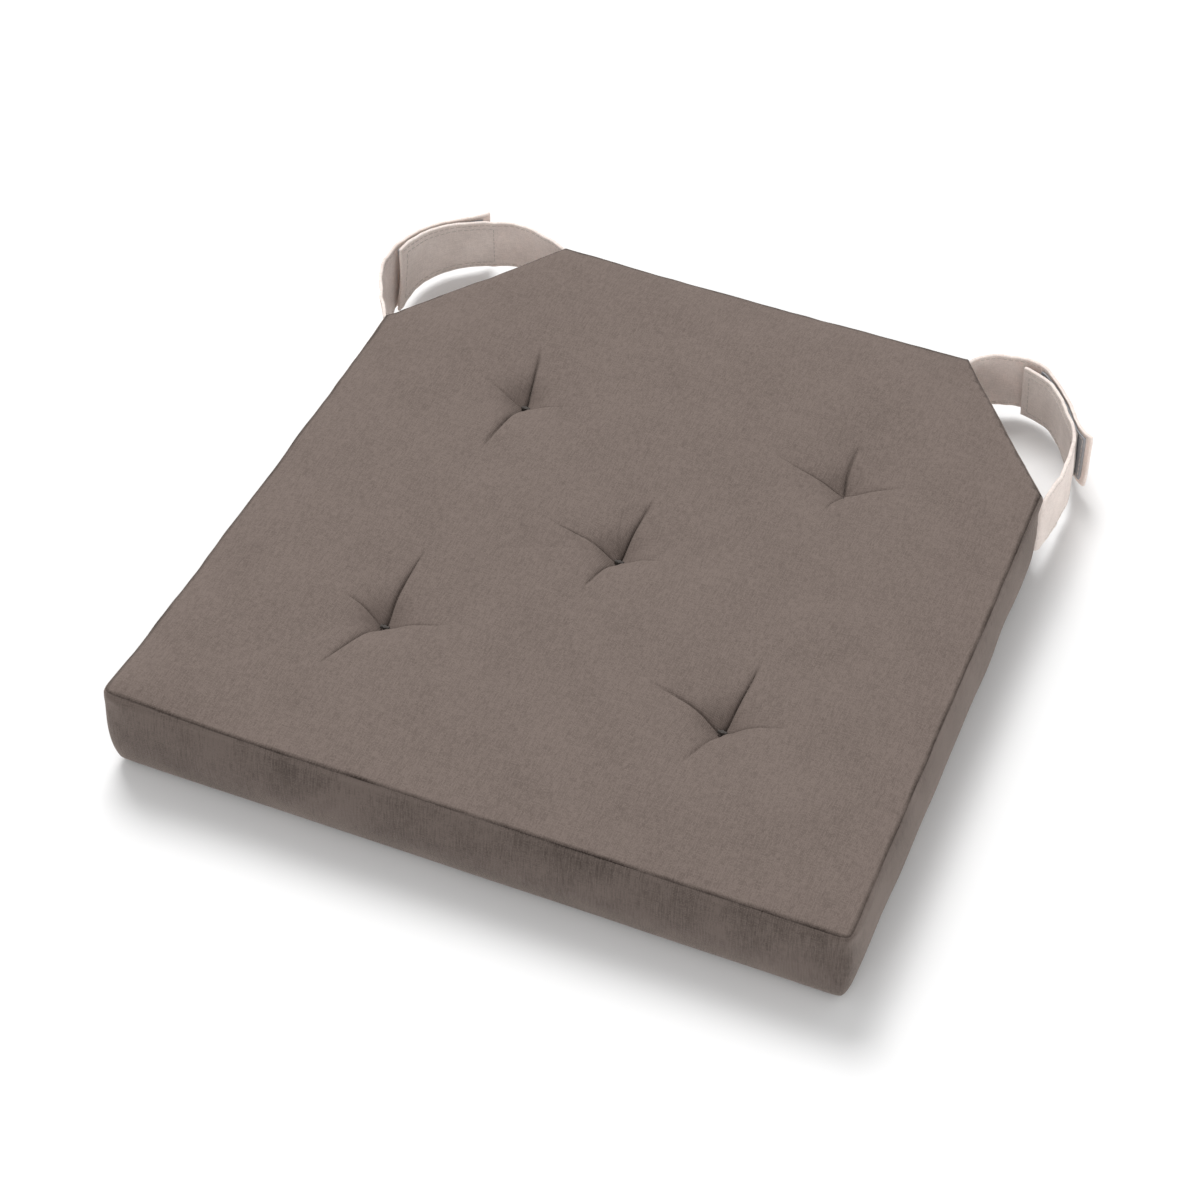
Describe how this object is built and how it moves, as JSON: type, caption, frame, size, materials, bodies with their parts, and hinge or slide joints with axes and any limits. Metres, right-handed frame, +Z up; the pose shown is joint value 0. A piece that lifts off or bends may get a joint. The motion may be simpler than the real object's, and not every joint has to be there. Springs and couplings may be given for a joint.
{
  "type": "chair seat pad",
  "caption": "Square tufted chair seat pad with boxed sides, cut rear corners and a hook-and-loop strap at each rear corner that closes round the chair's back post.",
  "frame": {"origin": "middle of the underside, on the chair's seat", "axes": "+Z up out of the chair's seat, +Y towards the chair's back where the straps are, +X to the right of someone facing that back"},
  "size_m": [0.4122, 0.4201, 0.05],
  "materials": {
    "pad_fabric_top": "matte plain weave",
    "pad_fabric_side": "matte plain weave",
    "pad_fabric_underside": "matte plain weave",
    "strap_fabric": "soft matte twill",
    "hook_tape": "stiff hooks",
    "loop_tape": "brushed loops",
    "seam_thread": "twisted thread",
    "tuft_thread": "waxed twisted thread",
    "strap_thread": "twisted thread",
    "foam": "open-cell foam",
    "wadding": "loose polyester fibre"
  },
  "bodies": {
    "pad": {"foam_core": "foam", "top_wadding": "wadding", "bottom_wadding": "wadding", "top_panel": "pad_fabric_top", "bottom_panel": "pad_fabric_underside", "front_side_boxing": "pad_fabric_side", "left_corner_boxing": "pad_fabric_side", "rear_boxing": "pad_fabric_side", "right_corner_boxing": "pad_fabric_side", "top_seam_thread": "seam_thread", "bottom_seam_thread": "seam_thread", "corner_seam_threads": "seam_thread", "tuft_thread_center": "tuft_thread", "tuft_thread_front_left": "tuft_thread", "tuft_thread_front_right": "tuft_thread", "tuft_thread_rear_left": "tuft_thread", "tuft_thread_rear_right": "tuft_thread", "left_side_tab_root": "strap_fabric", "left_rear_tab_root": "strap_fabric", "right_rear_tab_root": "strap_fabric", "right_side_tab_root": "strap_fabric"},
    "left_side_tab": {"left_side_tab": "strap_fabric", "left_side_hook_tape": "hook_tape", "left_side_tape_stitching": "strap_thread"},
    "left_rear_tab": {"left_rear_tab": "strap_fabric", "left_rear_loop_tape": "loop_tape", "left_rear_tape_stitching": "strap_thread"},
    "right_rear_tab": {"right_rear_tab": "strap_fabric", "right_rear_hook_tape": "hook_tape", "right_rear_tape_stitching": "strap_thread"},
    "right_side_tab": {"right_side_tab": "strap_fabric", "right_side_loop_tape": "loop_tape", "right_side_tape_stitching": "strap_thread"}
  },
  "joints": [
    {"name": "left_side_tab_fold", "type": "hinge", "parent": "pad", "child": "left_side_tab", "pos_m": [-0.18942, 0.1105, 0.025], "axis": [0, 0, 1], "range_deg": [0, 140]},
    {"name": "left_rear_tab_fold", "type": "hinge", "parent": "pad", "child": "left_rear_tab", "pos_m": [-0.11966, 0.20135, 0.025], "axis": [0, 0, 1], "range_deg": [0, 20]},
    {"name": "right_rear_tab_fold", "type": "hinge", "parent": "pad", "child": "right_rear_tab", "pos_m": [0.11966, 0.20135, 0.025], "axis": [0, 0, 1], "range_deg": [0, 105]},
    {"name": "right_side_tab_fold", "type": "hinge", "parent": "pad", "child": "right_side_tab", "pos_m": [0.18942, 0.1105, 0.025], "axis": [0, 0, 1], "range_deg": [0, 12]}
  ]
}
